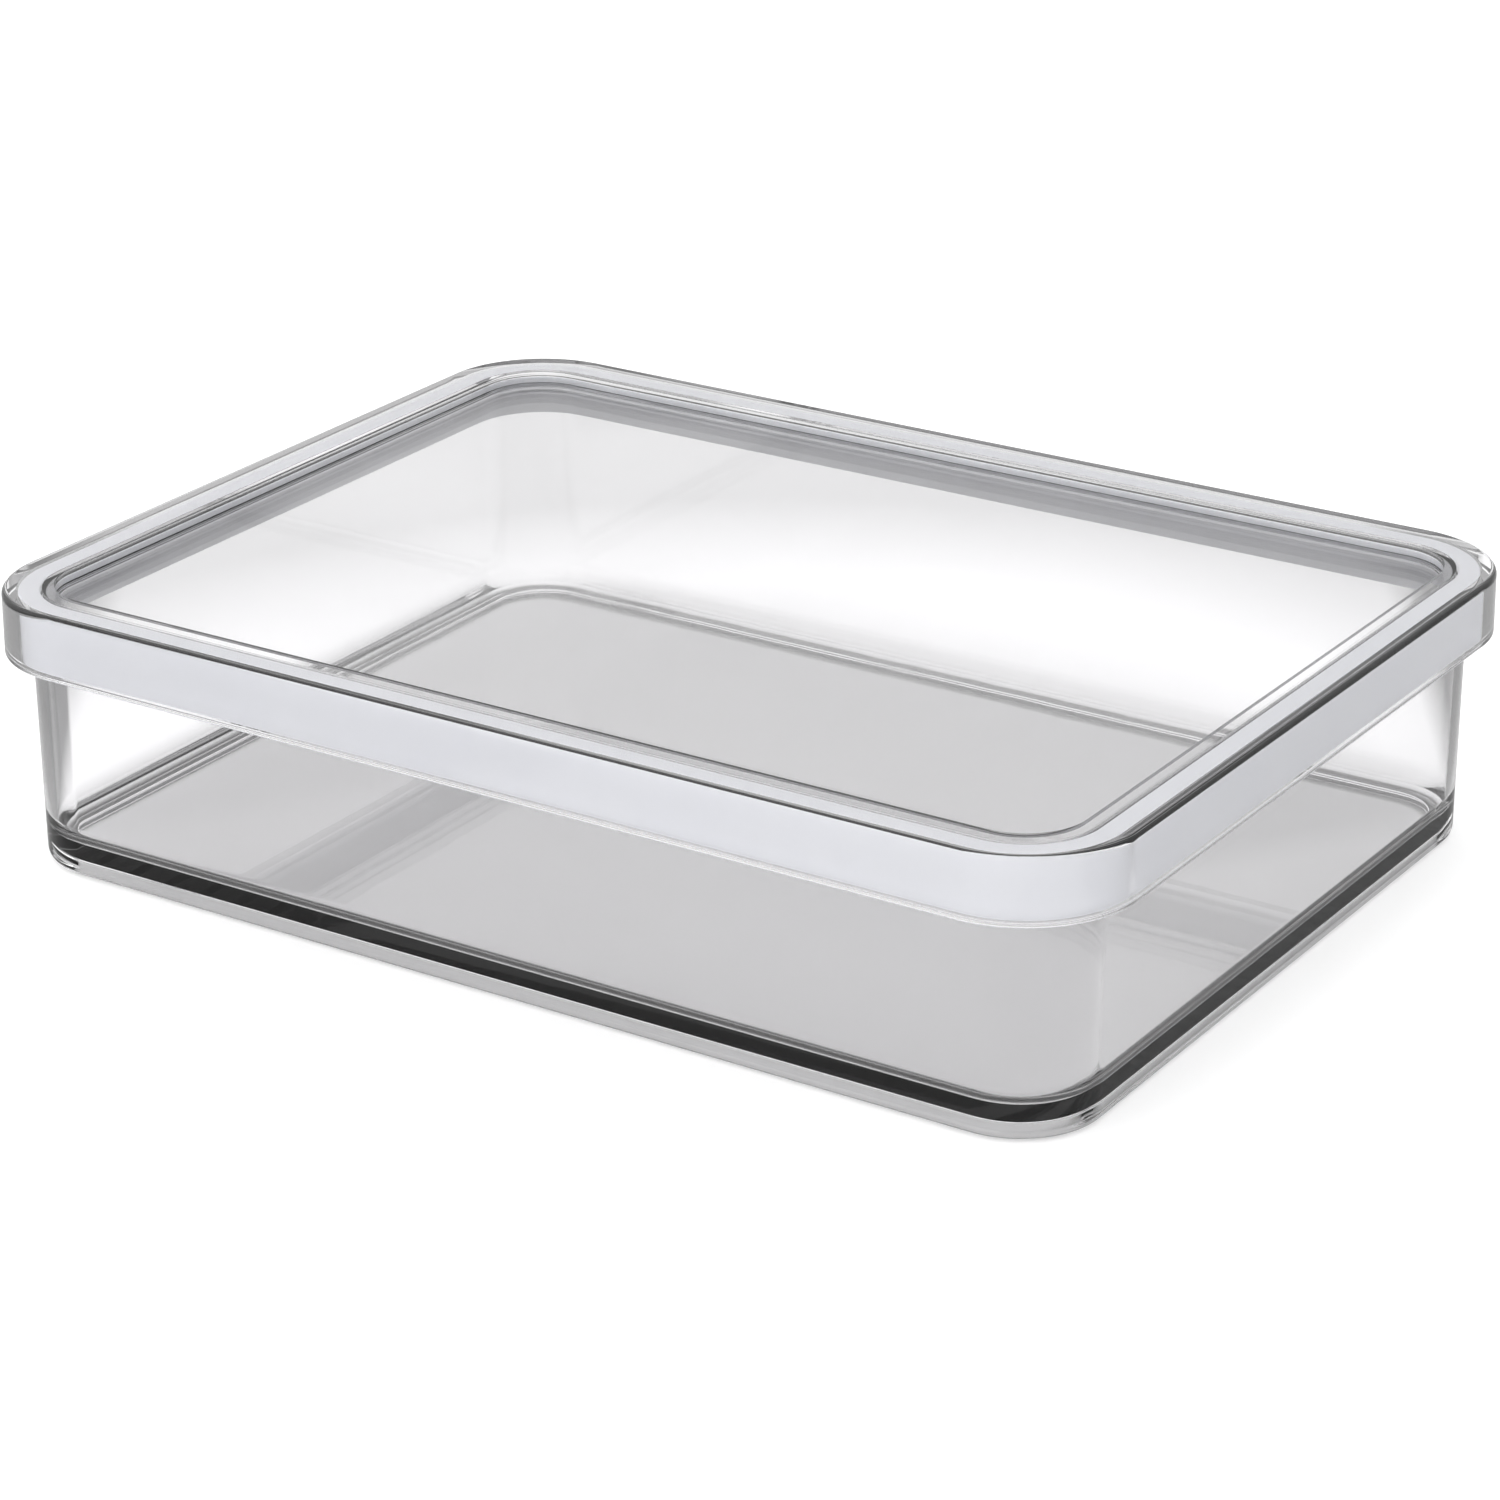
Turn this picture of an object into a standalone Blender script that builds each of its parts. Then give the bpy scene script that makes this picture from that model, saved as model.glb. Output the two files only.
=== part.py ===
"""Low clear storage box for dry food: a moulded container, its lift-off lid and the seal held in the lid.

Metres, +Z up. The origin is at the middle of the underside, X runs along the long side and Y along the short one.
Every piece is lofted through rounded rectangles. Each section is a pair: how far it lies inside the lid's
outer edge, and its height.
"""

import math

import bmesh
import bpy

# The whole box
LENGTH = 0.200
WIDTH = 0.150
HEIGHT = 0.0458
CORNER_RADIUS = 0.0184
CORNER_STEPS = 14
LEAST_CORNER_RADIUS = 0.001
MOST_FILLET_SHARE = 0.85

# Clearance kept between pieces that touch on the real box
FIT_GAP = 0.0003

# Lid
SKIRT_HEIGHT = 0.0107
SKIRT_THICKNESS = 0.0024
SKIRT_DRAFT = 0.0001
RIM_THICKNESS = 0.0012
RIM_WIDTH = 0.0084
RECESS_DEPTH = 0.0025
PANEL_THICKNESS = 0.0020
LID_EDGE_RADIUS = 0.0012
LID_SMALL_RADIUS = 0.0004

# Seal, an angle section: a band behind the skirt and a flange that lies on the container's edge
SEAL_BAND_THICKNESS = 0.0013
SEAL_FLANGE_THICKNESS = 0.0012
SEAL_SHORTFALL = 0.0004
SEAL_EDGE_RADIUS = 0.0003

# Container, which stands on a ring round its recessed base
WALL_THICKNESS = 0.0018
WALL_DRAFT = 0.0003
FOOT_HEIGHT = 0.0017
FOOT_WIDTH = 0.0045
FOOT_FILLET = 0.0004
FOOT_INNER_RADIUS = 0.0003
BASE_THICKNESS = 0.0026
FLOOR_FILLET = 0.0038
BASE_EDGE_RADIUS = 0.0018
MOUTH_RADIUS = 0.0005

# Rounded edges
ARC_STEPS = 4
FILLET_STEPS = 6

# Heights and insets that follow from the sizes above
rim_underside = HEIGHT - RIM_THICKNESS
skirt_bottom = HEIGHT - SKIRT_HEIGHT
panel_top = HEIGHT - RECESS_DEPTH
panel_underside = panel_top - PANEL_THICKNESS
seal_outer = SKIRT_THICKNESS + FIT_GAP
seal_inner = seal_outer + SEAL_BAND_THICKNESS
seal_top = rim_underside - FIT_GAP
seal_flange_underside = seal_top - SEAL_FLANGE_THICKNESS
seal_bottom = skirt_bottom + SEAL_SHORTFALL
wall_top = seal_flange_underside - FIT_GAP
wall_outer_top = seal_inner + FIT_GAP
wall_outer_base = wall_outer_top + WALL_DRAFT
wall_inner_top = wall_outer_top + WALL_THICKNESS
wall_inner_base = wall_inner_top + WALL_DRAFT
foot_inner = wall_outer_base + FOOT_WIDTH
floor_top = FOOT_HEIGHT + BASE_THICKNESS
plug_outer = wall_inner_top + FIT_GAP

STYRENE_CLEAR = (0.93, 0.94, 0.95, 0.30)
SEAL_COLOUR = (0.80, 0.80, 0.84, 1.0)


def clear_scene():
    for existing in list(bpy.data.objects):
        bpy.data.objects.remove(existing, do_unlink=True)


def make_collection(name):
    collection = bpy.data.collections.new(name)
    bpy.context.scene.collection.children.link(collection)
    return collection


def make_material(name, colour, roughness, transmission=0.0):
    material = bpy.data.materials.new(name)
    material.use_nodes = True
    shader = material.node_tree.nodes["Principled BSDF"]
    shader.inputs["Base Color"].default_value = colour
    shader.inputs["Roughness"].default_value = roughness
    shader.inputs["Metallic"].default_value = 0.0
    shader.inputs["Transmission Weight"].default_value = transmission
    material.diffuse_color = colour
    return material


def rounded_rectangle(inset, height):
    """Points of one section, anticlockwise, with corners that stay concentric with the lid's."""
    radius = max(CORNER_RADIUS - inset, LEAST_CORNER_RADIUS)
    reach_x = LENGTH / 2 - inset - radius
    reach_y = WIDTH / 2 - inset - radius
    points = []
    for corner, (side_x, side_y) in enumerate(((1, 1), (-1, 1), (-1, -1), (1, -1))):
        for step in range(CORNER_STEPS + 1):
            angle = math.radians(90) * (corner + step / CORNER_STEPS)
            x = side_x * reach_x + radius * math.cos(angle)
            y = side_y * reach_y + radius * math.sin(angle)
            points.append((x, y, height))
    return points


def arc(inset, height, radius, start, end, steps=ARC_STEPS):
    """Sections along an arc round a centre. 0 degrees points inwards and 90 points up."""
    sections = []
    for step in range(steps + 1):
        angle = math.radians(start + (end - start) * step / steps)
        sections.append((inset + radius * math.cos(angle), height + radius * math.sin(angle)))
    return sections


def loft(name, profile, material, collection, closed=False):
    """A solid through the profile's sections: a ring if closed, or else with both ends capped."""
    shape = bmesh.new()
    rings = []
    for inset, height in profile:
        rings.append([shape.verts.new(point) for point in rounded_rectangle(inset, height)])
    if closed:
        rings.append(rings[0])
    else:
        shape.faces.new(rings[0])
        shape.faces.new(rings[-1])
    for ring, following in zip(rings, rings[1:]):
        for i in range(len(ring)):
            shape.faces.new((ring[i - 1], ring[i], following[i], following[i - 1]))
    bmesh.ops.recalc_face_normals(shape, faces=shape.faces)
    mesh = bpy.data.meshes.new(name)
    shape.to_mesh(mesh)
    shape.free()
    mesh.materials.append(material)
    mesh.shade_smooth()
    mesh.set_sharp_from_angle(angle=math.radians(35))
    piece = bpy.data.objects.new(name, mesh)
    collection.objects.link(piece)
    return piece


def container_profile():
    """From the recessed underside round the foot ring, up the outside, over the edge and down to the floor."""
    edge = BASE_EDGE_RADIUS
    lip = MOUTH_RADIUS
    fillet = FLOOR_FILLET
    foot_edge = FOOT_INNER_RADIUS
    foot_fillet = min(FOOT_FILLET, (FOOT_HEIGHT - foot_edge) * MOST_FILLET_SHARE)
    profile = arc(foot_inner + foot_fillet, FOOT_HEIGHT - foot_fillet, foot_fillet, 90, 180)
    profile += arc(foot_inner - foot_edge, foot_edge, foot_edge, 0, -90)
    profile += arc(wall_outer_base + edge, edge, edge, -90, -180)
    profile += arc(wall_outer_top + lip, wall_top - lip, lip, 180, 90)
    profile += arc(wall_inner_top - lip, wall_top - lip, lip, 90, 0)
    profile += arc(wall_inner_base + fillet, floor_top + fillet, fillet, 180, 270, FILLET_STEPS)
    return profile


def lid_profile():
    """From the recessed panel up to the rim, down the skirt, up behind it and across the underside."""
    edge = LID_EDGE_RADIUS
    small = LID_SMALL_RADIUS
    profile = arc(RIM_WIDTH + small, panel_top + small, small, 270, 180)
    profile += arc(RIM_WIDTH - small, HEIGHT - small, small, 0, 90)
    profile += arc(SKIRT_DRAFT + edge, HEIGHT - edge, edge, 90, 180)
    profile += arc(small, skirt_bottom + small, small, 180, 270)
    profile += arc(SKIRT_THICKNESS - small, skirt_bottom + small, small, 270, 360)
    profile += arc(SKIRT_THICKNESS + small, rim_underside - small, small, 180, 90)
    profile += arc(plug_outer - small, rim_underside - small, small, 90, 0)
    profile += arc(plug_outer + small, panel_underside + small, small, 180, 270)
    return profile


def seal_profile():
    """Round the angle section, which has no ends."""
    small = SEAL_EDGE_RADIUS
    profile = arc(seal_outer + small, seal_bottom + small, small, 270, 180)
    profile += arc(seal_outer + small, seal_top - small, small, 180, 90)
    profile += arc(wall_inner_top - small, seal_top - small, small, 90, 0)
    profile += arc(wall_inner_top - small, seal_flange_underside + small, small, 0, -90)
    profile += arc(seal_inner + small, seal_flange_underside - small, small, 90, 180)
    profile += arc(seal_inner - small, seal_bottom + small, small, 0, -90)
    return profile


def main():
    clear_scene()
    bpy.context.scene.unit_settings.system = "METRIC"
    box = make_collection("dry_food_container")
    clear = make_material("clear_styrene", STYRENE_CLEAR, roughness=0.03, transmission=1.0)
    lid_clear = make_material("clear_styrene_lid", STYRENE_CLEAR, roughness=0.03, transmission=1.0)
    rubber = make_material("seal_silicone", SEAL_COLOUR, roughness=0.45)
    loft("container_body", container_profile(), clear, box)
    loft("lid_shell", lid_profile(), lid_clear, box)
    loft("seal_ring", seal_profile(), rubber, box, closed=True)


main()
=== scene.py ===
"""Looks of the dry food container: fine clear mouldings and a milky seal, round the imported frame."""

import math

import bmesh
import bpy
from mathutils import Matrix, Vector


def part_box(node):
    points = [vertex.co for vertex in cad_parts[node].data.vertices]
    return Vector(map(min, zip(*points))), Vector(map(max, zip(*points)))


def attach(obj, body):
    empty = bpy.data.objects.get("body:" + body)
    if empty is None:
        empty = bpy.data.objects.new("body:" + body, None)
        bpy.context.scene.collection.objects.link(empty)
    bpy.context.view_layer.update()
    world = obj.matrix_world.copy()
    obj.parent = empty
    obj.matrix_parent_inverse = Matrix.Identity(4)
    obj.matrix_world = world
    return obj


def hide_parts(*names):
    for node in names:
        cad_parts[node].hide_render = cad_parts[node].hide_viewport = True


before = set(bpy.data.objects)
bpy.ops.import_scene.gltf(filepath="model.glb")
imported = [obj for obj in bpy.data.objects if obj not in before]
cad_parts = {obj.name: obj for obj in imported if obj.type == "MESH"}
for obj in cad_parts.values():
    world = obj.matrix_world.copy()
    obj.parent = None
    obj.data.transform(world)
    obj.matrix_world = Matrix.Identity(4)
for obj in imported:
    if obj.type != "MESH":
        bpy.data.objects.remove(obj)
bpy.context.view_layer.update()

# Sizes read from the frame. Each inset is measured from the lid's outer edge
lid_low, lid_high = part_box("lid_shell")
body_low, body_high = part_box("container_body")
seal_low, seal_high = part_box("seal_ring")
LENGTH = lid_high.x - lid_low.x
WIDTH = lid_high.y - lid_low.y
HEIGHT = lid_high.z
SKIRT_BOTTOM = lid_low.z
SEAL_OUTER = lid_high.x - seal_high.x
SEAL_TOP = seal_high.z
SEAL_BOTTOM = seal_low.z
WALL_OUTER = lid_high.x - body_high.x
WALL_TOP = body_high.z

# Lid. Every size here and below is in metres
CORNER_RADIUS = 0.0184
SKIRT_THICKNESS = 0.0024
SKIRT_DRAFT = 0.0001
RIM_THICKNESS = 0.0013
RIM_WIDTH = 0.0084
RECESS_DEPTH = 0.0025
PANEL_THICKNESS = 0.0018
PLUG_OUTER = 0.0065
LID_EDGE_RADIUS = 0.0010
RIM_EDGE = 0.00015
RECESS_FILLET = 0.0005
CHANNEL_FILLET = 0.0001
PLUG_EDGE = 0.0007
SKIRT_EDGE_OUT = 0.0006
SKIRT_EDGE_IN = 0.0005

# Seal
SEAL_BAND_THICKNESS = 0.0013
SEAL_FLANGE_THICKNESS = 0.0012
SEAL_EDGE_RADIUS = 0.00025

# Container
WALL_THICKNESS = 0.0018
WALL_DRAFT = 0.0003
FOOT_HEIGHT = 0.0017
FOOT_WIDTH = 0.0045
FOOT_FILLET = 0.0004
FOOT_INNER_RADIUS = 0.0003
BASE_THICKNESS = 0.0026
FLOOR_FILLET = 0.0038
BASE_EDGE_RADIUS = 0.0018
MOUTH_RADIUS = 0.0005

# Steps round each corner and along each rounded edge
CORNER_STEPS = 32
ARC_STEPS = 8

# Where a noise's low and high values mostly lie
NOISE_LOW = 0.3
NOISE_HIGH = 0.7

# Clear plastic, with the mould's flow
CONTAINER_IOR = 1.42
LID_IOR = 1.52
CLEAR_TINT = (0.985, 0.982, 0.989, 1.0)
CLEAR_TINT_DEEP = (0.968, 0.965, 0.973, 1.0)
POLISH_LEAST = 0.0
POLISH_MOST = 0.02
FLOW_SCALE = 45.0
FLOW_DETAIL = 2.0
FLOW_HEIGHT = 0.00001

# Silicone, with faint clouds and the mould's grain
MILKY = (0.955, 0.97, 1.0, 1.0)
MILKY_DEEP = (0.92, 0.935, 0.98, 1.0)
CLOUD_SCALE = 90.0
CLOUD_DETAIL = 3.0
GRAIN_SCALE = 1800.0
GRAIN_DETAIL = 2.0
GRAIN_HEIGHT = 0.00002
SATIN_LEAST = 0.45
SATIN_MOST = 0.6

# The photograph's camera, from the fit to the box's edges
CAMERA_PLACE = (0.36412, -0.55870, 0.29631)
CAMERA_AZIMUTH = 33.129
CAMERA_ELEVATION = 22.846
CAMERA_ROLL = -0.296
CAMERA_LENS = 108.53
SENSOR_WIDTH = 36.0

# Studio sky, brightest towards SKY_FROM
SKY_FROM = (-0.4, -0.6, 0.7)
SKY_START = -0.5
SKY_LOW = 0.9
SKY_HIGH = 1.7

# How much of the studio shows in the plastic: less in its outer reflections, and little after many inside it
MIRROR_SHARE = 0.5
FADE_START = 1.0
FADE_END = 6.0
FADE_LEAST = 0.02

# Most bounces that a ray makes in the plastic
BOUNCES = 48

# Floor: its tone, a painted shade where the box stands on it and a soft painted shade round it, both by
# occlusion
FLOOR_HALF_SIZE = 6.0
FLOOR_GAP = 0.0001
FLOOR_ALBEDO = 0.80
FLOOR_GLOW = 0.30
TOUCH_REACH = 0.0015
TOUCH_CLOSED = 0.4
TOUCH_OPEN = 0.9
TOUCH_SHADE_LEAST = 0.2
TOUCH_SHADE_LEAN = (0.35, 0.5, 0.8)
AROUND_REACH = 0.016
AROUND_SHADE_LEAST = 0.75
SHADE_SAMPLES = 4

# Least share of its tone that the floor keeps under the painted shade where the camera sees it directly
DIRECT_LEAST = 0.95

# Floor as the plastic shows it, with painted shade: greyer on both sides of a strip that runs away from the
# camera, and far off
STRIP_TURN = 33.0
STRIP_HALF_WIDTH = 0.121
STRIP_FADE = 0.010
SIDE_SHADE = 0.35
FAR_START = 0.115
FAR_END = 0.160
FAR_SHADE = 0.63


def rounded_rectangle(inset):
    """(x, y) and outward direction of each point of the outline that lies `inset` inside the lid's edge."""
    radius = CORNER_RADIUS - inset
    points = []
    for corner, (side_x, side_y) in enumerate(((1, 1), (-1, 1), (-1, -1), (1, -1))):
        centre_x = side_x * (LENGTH / 2 - CORNER_RADIUS)
        centre_y = side_y * (WIDTH / 2 - CORNER_RADIUS)
        for step in range(CORNER_STEPS + 1):
            angle = math.radians(90) * (corner + step / CORNER_STEPS)
            out = (math.cos(angle), math.sin(angle))
            points.append((centre_x + radius * out[0], centre_y + radius * out[1], out))
    return points


def arc(inset, height, radius, start, end, bulge=1):
    """Sections along an arc, each with its surface normal. bulge is 1 on a convex edge and -1 in a fillet."""
    sections = []
    for step in range(ARC_STEPS + 1):
        angle = math.radians(start + (end - start) * step / ARC_STEPS)
        along, up = math.cos(angle), math.sin(angle)
        sections.append((inset + radius * along, height + radius * up, bulge * along, bulge * up))
    return sections


def loft(name, profile, closed=False):
    """A smooth solid through the profile's sections. Exact normals make flat faces refract as flat ones."""
    shape = bmesh.new()
    rings, normals = [], []
    for inset, height, inward, upward in profile:
        ring = []
        for x, y, out in rounded_rectangle(inset):
            ring.append(shape.verts.new((x, y, height)))
            normals.append((-inward * out[0], -inward * out[1], upward))
        rings.append(ring)
    if closed:
        rings.append(rings[0])
    else:
        shape.faces.new(rings[0])
        shape.faces.new(rings[-1])
    for ring, following in zip(rings, rings[1:]):
        for i in range(len(ring)):
            shape.faces.new((ring[i - 1], ring[i], following[i], following[i - 1]))
    bmesh.ops.recalc_face_normals(shape, faces=shape.faces)
    mesh = bpy.data.meshes.new(name)
    shape.to_mesh(mesh)
    shape.free()
    mesh.shade_smooth()
    mesh.normals_split_custom_set_from_vertices(normals)
    piece = bpy.data.objects.new(name, mesh)
    bpy.context.scene.collection.objects.link(piece)
    return piece


def container_profile():
    """From the recessed underside round the foot ring, up outside, over the edge and down to the floor."""
    edge, lip, fillet = BASE_EDGE_RADIUS, MOUTH_RADIUS, FLOOR_FILLET
    outer_base = WALL_OUTER + WALL_DRAFT
    inner_top = WALL_OUTER + WALL_THICKNESS
    inner_base = inner_top + WALL_DRAFT
    foot_inner = outer_base + FOOT_WIDTH
    foot, foot_edge = FOOT_FILLET, FOOT_INNER_RADIUS
    floor_top = FOOT_HEIGHT + BASE_THICKNESS
    profile = arc(foot_inner + foot, FOOT_HEIGHT - foot, foot, 90, 180, bulge=-1)
    profile += arc(foot_inner - foot_edge, foot_edge, foot_edge, 0, -90)
    profile += arc(outer_base + edge, edge, edge, -90, -180)
    profile += arc(WALL_OUTER + lip, WALL_TOP - lip, lip, 180, 90)
    profile += arc(inner_top - lip, WALL_TOP - lip, lip, 90, 0)
    profile += arc(inner_base + fillet, floor_top + fillet, fillet, 180, 270, bulge=-1)
    return profile


def lid_profile():
    """From the recessed panel up to the rim, down the skirt, up behind it and across the underside."""
    recess, rim, edge = RECESS_FILLET, RIM_EDGE, LID_EDGE_RADIUS
    outside, inside = SKIRT_EDGE_OUT, SKIRT_EDGE_IN
    channel, plug = CHANNEL_FILLET, PLUG_EDGE
    panel_top = HEIGHT - RECESS_DEPTH
    panel_underside = panel_top - PANEL_THICKNESS
    rim_underside = HEIGHT - RIM_THICKNESS
    profile = arc(RIM_WIDTH + recess, panel_top + recess, recess, 270, 180, bulge=-1)
    profile += arc(RIM_WIDTH - rim, HEIGHT - rim, rim, 0, 90)
    profile += arc(SKIRT_DRAFT + edge, HEIGHT - edge, edge, 90, 180)
    profile += arc(outside, SKIRT_BOTTOM + outside, outside, 180, 270)
    profile += arc(SKIRT_THICKNESS - inside, SKIRT_BOTTOM + inside, inside, 270, 360)
    profile += arc(SKIRT_THICKNESS + channel, rim_underside - channel, channel, 180, 90, bulge=-1)
    profile += arc(PLUG_OUTER - channel, rim_underside - channel, channel, 90, 0, bulge=-1)
    profile += arc(PLUG_OUTER + plug, panel_underside + plug, plug, 180, 270)
    return profile


def seal_profile():
    """Round the angle section, which has no ends."""
    small = SEAL_EDGE_RADIUS
    seal_inner = SEAL_OUTER + SEAL_BAND_THICKNESS
    flange_inner = WALL_OUTER + WALL_THICKNESS
    flange_underside = SEAL_TOP - SEAL_FLANGE_THICKNESS
    profile = arc(SEAL_OUTER + small, SEAL_BOTTOM + small, small, 270, 180)
    profile += arc(SEAL_OUTER + small, SEAL_TOP - small, small, 180, 90)
    profile += arc(flange_inner - small, SEAL_TOP - small, small, 90, 0)
    profile += arc(flange_inner - small, flange_underside + small, small, 0, -90)
    profile += arc(seal_inner + small, flange_underside - small, small, 90, 180, bulge=-1)
    profile += arc(seal_inner - small, SEAL_BOTTOM + small, small, 0, -90)
    return profile


def compute(tree, operation, *values):
    """The result of a Math node. Each value is a number or another node's output."""
    node = tree.nodes.new("ShaderNodeMath")
    node.operation = operation
    for socket, value in zip(node.inputs, values):
        if isinstance(value, float):
            socket.default_value = value
        else:
            tree.links.new(value, socket)
    return node.outputs[0]


def remap(tree, value, start, end, low, high, interpolation="LINEAR"):
    """The value's way from start to end turned into one from low to high."""
    node = tree.nodes.new("ShaderNodeMapRange")
    node.interpolation_type = interpolation
    node.inputs["From Min"].default_value = start
    node.inputs["From Max"].default_value = end
    node.inputs["To Min"].default_value = low
    node.inputs["To Max"].default_value = high
    tree.links.new(value, node.inputs["Value"])
    return node.outputs["Result"]


def along(tree, vector, direction):
    """How far the vector reaches in a direction."""
    node = tree.nodes.new("ShaderNodeVectorMath")
    node.operation = "DOT_PRODUCT"
    tree.links.new(vector, node.inputs[0])
    node.inputs[1].default_value = direction
    return node.outputs["Value"]


def length(tree, vector):
    node = tree.nodes.new("ShaderNodeVectorMath")
    node.operation = "LENGTH"
    tree.links.new(vector, node.inputs[0])
    return node.outputs["Value"]


def noise(tree, place, scale, detail):
    node = tree.nodes.new("ShaderNodeTexNoise")
    node.inputs["Scale"].default_value = scale
    node.inputs["Detail"].default_value = detail
    tree.links.new(place, node.inputs["Vector"])
    return node.outputs["Fac"]


def blend(tree, share, first, second):
    """A colour between two, by the share."""
    node = tree.nodes.new("ShaderNodeMix")
    node.data_type = "RGBA"
    tree.links.new(share, node.inputs["Factor"])
    node.inputs["A"].default_value = first
    node.inputs["B"].default_value = second
    return node.outputs["Result"]


def bump(tree, height, distance):
    node = tree.nodes.new("ShaderNodeBump")
    node.inputs["Distance"].default_value = distance
    tree.links.new(height, node.inputs["Height"])
    return node.outputs["Normal"]


def new_material(name):
    """A new material, its node tree and its Principled BSDF."""
    material = bpy.data.materials.new(name)
    material.use_nodes = True
    return material, material.node_tree, material.node_tree.nodes["Principled BSDF"]


def clear_plastic(name, index):
    """Polished clear plastic: a trace of flow left by the mould, in its tint, polish and surface."""
    material, tree, shader = new_material(name)
    place = tree.nodes.new("ShaderNodeTexCoord").outputs["Object"]
    flow = noise(tree, place, FLOW_SCALE, FLOW_DETAIL)
    polish = remap(tree, flow, NOISE_LOW, NOISE_HIGH, POLISH_LEAST, POLISH_MOST)
    tree.links.new(blend(tree, flow, CLEAR_TINT, CLEAR_TINT_DEEP), shader.inputs["Base Color"])
    tree.links.new(polish, shader.inputs["Roughness"])
    tree.links.new(bump(tree, flow, FLOW_HEIGHT), shader.inputs["Normal"])
    shader.inputs["IOR"].default_value = index
    shader.inputs["Transmission Weight"].default_value = 1.0
    return material


def milky_silicone(name):
    """Pale satin silicone with a faint cloudiness and the fine grain of its mould."""
    material, tree, shader = new_material(name)
    place = tree.nodes.new("ShaderNodeTexCoord").outputs["Object"]
    cloud = noise(tree, place, CLOUD_SCALE, CLOUD_DETAIL)
    grain = noise(tree, place, GRAIN_SCALE, GRAIN_DETAIL)
    satin = remap(tree, grain, NOISE_LOW, NOISE_HIGH, SATIN_LEAST, SATIN_MOST)
    tree.links.new(blend(tree, cloud, MILKY, MILKY_DEEP), shader.inputs["Base Color"])
    tree.links.new(satin, shader.inputs["Roughness"])
    tree.links.new(bump(tree, grain, GRAIN_HEIGHT), shader.inputs["Normal"])
    return material


def share_seen(tree, paths):
    """The share of the studio that a ray sees, by its way through the plastic."""
    deep = remap(tree, paths["Glossy Depth"], FADE_START, FADE_END, 1.0, FADE_LEAST)
    mirror = compute(tree, "MULTIPLY", paths["Is Reflection Ray"], paths["Is Glossy Ray"])
    outer = compute(tree, "MULTIPLY_ADD", mirror, MIRROR_SHARE - 1.0, 1.0)
    return compute(tree, "MULTIPLY", deep, outer)


def painted_occlusion_shade(tree, reach, closed, clear, least, lean):
    """Painted shade: 1 where the air over the floor is open towards `lean`, down to `least` where the box
    closes it off.
    """
    node = tree.nodes.new("ShaderNodeAmbientOcclusion")
    node.samples = SHADE_SAMPLES
    node.inputs["Distance"].default_value = reach
    direction = tree.nodes.new("ShaderNodeCombineXYZ")
    for axis, amount in zip("XYZ", Vector(lean).normalized()):
        direction.inputs[axis].default_value = amount
    tree.links.new(direction.outputs[0], node.inputs["Normal"])
    return remap(tree, node.outputs["AO"], closed, clear, least, 1.0)


def painted_floor_shade(tree, paths):
    """Painted shade of the floor as rays through the plastic see it, greyer beside a strip and far off, and 1
    for all others, those off the seal too.
    """
    place = tree.nodes.new("ShaderNodeTexCoord").outputs["Object"]
    turn = math.radians(STRIP_TURN)
    aside = compute(tree, "ABSOLUTE", along(tree, place, (math.cos(turn), math.sin(turn), 0.0)))
    start, end = STRIP_HALF_WIDTH - STRIP_FADE / 2, STRIP_HALF_WIDTH + STRIP_FADE / 2
    # Painted shade: the floor greyer on both sides of the strip and far off, for rays through the plastic
    strip = remap(tree, aside, start, end, 1.0, SIDE_SHADE)
    far = remap(tree, length(tree, place), FAR_START, FAR_END, 1.0, FAR_SHADE)
    painted_shade_tone = compute(tree, "MULTIPLY", strip, far)
    unrefracted = compute(tree, "SUBTRACT", 1.0, paths["Is Transmission Ray"])
    others = compute(tree, "MAXIMUM", unrefracted, paths["Diffuse Depth"])
    return compute(tree, "MAXIMUM", painted_shade_tone, others)


def pale_floor(name):
    """Pale floor: white to the camera and through the plastic, with the box's shadow, partly real and partly
    painted shade, and painted shade on its sides and far off.
    """
    material, tree, shader = new_material(name)
    shader.inputs["Roughness"].default_value = 1.0
    shader.inputs["Specular IOR Level"].default_value = 0.0
    shader.inputs["Emission Color"].default_value = (1.0, 1.0, 1.0, 1.0)
    paths = tree.nodes.new("ShaderNodeLightPath").outputs
    # Painted shade on the floor's colour and glow: dark where the box stands on it and soft round it
    touch_shade = painted_occlusion_shade(tree, TOUCH_REACH, TOUCH_CLOSED, TOUCH_OPEN, TOUCH_SHADE_LEAST, TOUCH_SHADE_LEAN)
    around_shade = painted_occlusion_shade(tree, AROUND_REACH, 0.0, 1.0, AROUND_SHADE_LEAST, (0.0, 0.0, 1.0))
    direct = compute(tree, "MULTIPLY", paths["Is Camera Ray"], DIRECT_LEAST)
    painted_shade_share = compute(tree, "MAXIMUM", compute(tree, "MULTIPLY", touch_shade, around_shade), direct)
    tree.links.new(compute(tree, "MULTIPLY", painted_shade_share, FLOOR_ALBEDO), shader.inputs["Base Color"])
    through = compute(tree, "MAXIMUM", paths["Is Transmission Ray"], paths["Is Glossy Ray"])
    seen = compute(tree, "MAXIMUM", paths["Is Camera Ray"], through)
    glow = compute(tree, "MULTIPLY", compute(tree, "MULTIPLY", seen, FLOOR_GLOW), painted_shade_share)
    tree.links.new(glow, shader.inputs["Emission Strength"])
    dark = tree.nodes.new("ShaderNodeBsdfDiffuse")
    dark.inputs["Color"].default_value = (0.0, 0.0, 0.0, 1.0)
    mix = tree.nodes.new("ShaderNodeMixShader")
    share = compute(tree, "MULTIPLY", share_seen(tree, paths), painted_floor_shade(tree, paths))
    tree.links.new(share, mix.inputs["Fac"])
    tree.links.new(dark.outputs["BSDF"], mix.inputs[1])
    tree.links.new(shader.outputs["BSDF"], mix.inputs[2])
    tree.links.new(mix.outputs[0], tree.nodes["Material Output"].inputs["Surface"])
    return material


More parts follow.
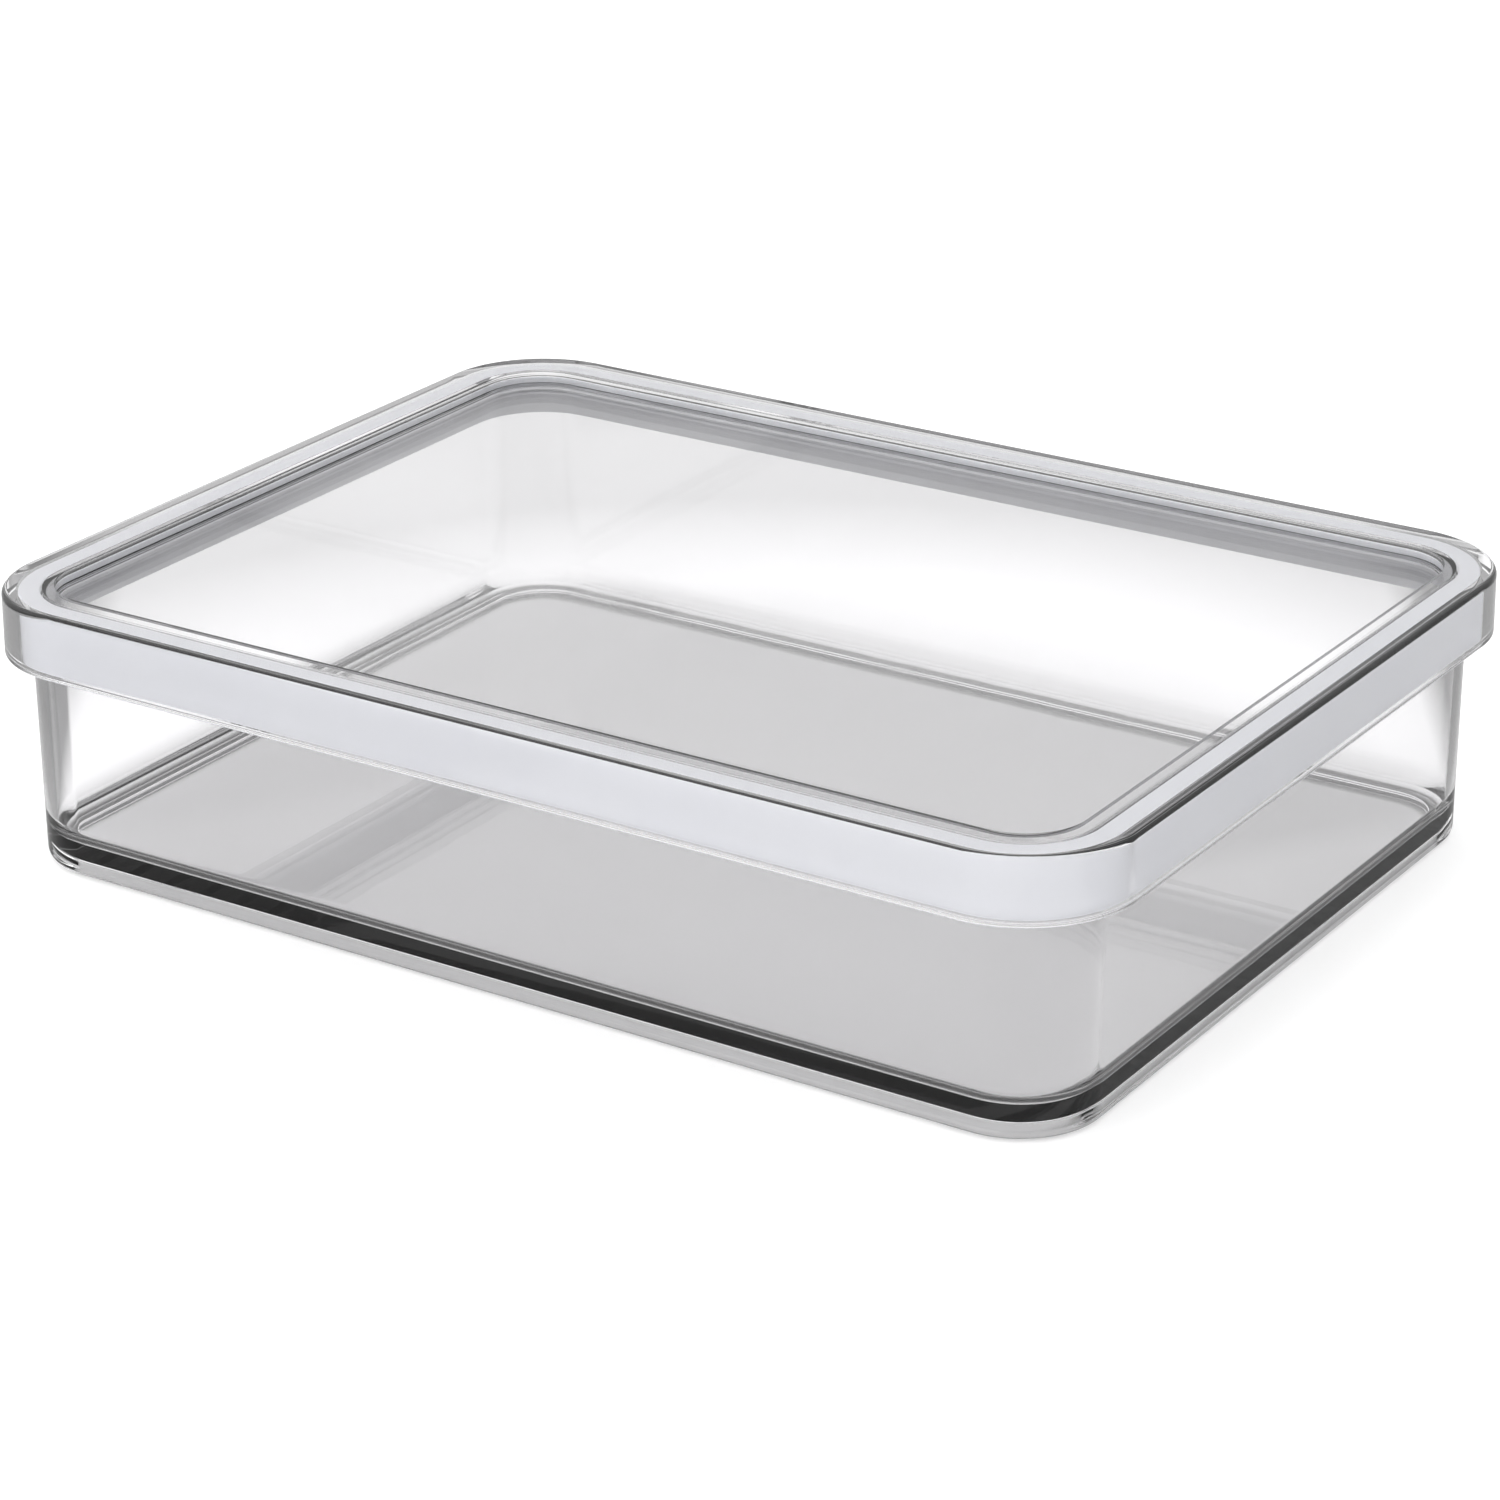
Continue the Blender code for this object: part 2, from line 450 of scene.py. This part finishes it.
def add_camera():
    azimuth, elevation, roll = (
        math.radians(angle) for angle in (CAMERA_AZIMUTH, CAMERA_ELEVATION, CAMERA_ROLL)
    )
    back = Vector(
        (
            math.sin(azimuth) * math.cos(elevation),
            -math.cos(azimuth) * math.cos(elevation),
            math.sin(elevation),
        )
    )
    right = (-back).cross(Vector((0, 0, 1))).normalized()
    up = right.cross(-back)
    turned_right = math.cos(roll) * right + math.sin(roll) * up
    turned_up = math.cos(roll) * up - math.sin(roll) * right
    data = bpy.data.cameras.new("camera")
    data.sensor_width = SENSOR_WIDTH
    data.lens = CAMERA_LENS
    camera = bpy.data.objects.new("camera", data)
    bpy.context.scene.collection.objects.link(camera)
    axes = Matrix((turned_right, turned_up, back)).transposed().to_4x4()
    camera.matrix_world = Matrix.Translation(CAMERA_PLACE) @ axes
    bpy.context.scene.camera = camera


def add_floor():
    shape = bmesh.new()
    bmesh.ops.create_grid(shape, x_segments=1, y_segments=1, size=FLOOR_HALF_SIZE)
    mesh = bpy.data.meshes.new("floor")
    shape.to_mesh(mesh)
    shape.free()
    mesh.materials.append(pale_floor("pale_floor"))
    floor = bpy.data.objects.new("floor", mesh)
    floor.location.z = body_low.z - FLOOR_GAP
    bpy.context.scene.collection.objects.link(floor)


def add_world():
    """Soft studio light from all round, brightest from high in front of the box."""
    world = bpy.data.worlds.new("studio")
    world.use_nodes = True
    tree = world.node_tree
    direction = tree.nodes.new("ShaderNodeTexCoord").outputs["Generated"]
    height = along(tree, direction, Vector(SKY_FROM).normalized())
    sky = remap(tree, height, SKY_START, 1.0, SKY_LOW, SKY_HIGH, "SMOOTHSTEP")
    share = share_seen(tree, tree.nodes.new("ShaderNodeLightPath").outputs)
    background = tree.nodes["Background"]
    background.inputs["Color"].default_value = (1.0, 1.0, 1.0, 1.0)
    tree.links.new(compute(tree, "MULTIPLY", sky, share), background.inputs["Strength"])
    bpy.context.scene.world = world


def main():
    container = loft("clear_container", container_profile())
    lid = loft("clear_lid", lid_profile())
    seal = loft("milky_seal", seal_profile(), closed=True)
    container.data.materials.append(clear_plastic("container_plastic", CONTAINER_IOR))
    lid.data.materials.append(clear_plastic("lid_plastic", LID_IOR))
    seal.data.materials.append(milky_silicone("seal_silicone"))
    for piece, node, body, slot in (
        (container, "container_body", "container", "container_clear"),
        (lid, "lid_shell", "lid", "lid_clear"),
        (seal, "seal_ring", "lid", "seal_silicone"),
    ):
        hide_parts(node)
        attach(piece, body)
    add_camera()
    add_floor()
    add_world()
    cycles = bpy.context.scene.cycles
    cycles.max_bounces = BOUNCES
    cycles.glossy_bounces = BOUNCES
    cycles.transmission_bounces = BOUNCES
    bpy.context.scene.view_settings.view_transform = "Standard"


main()
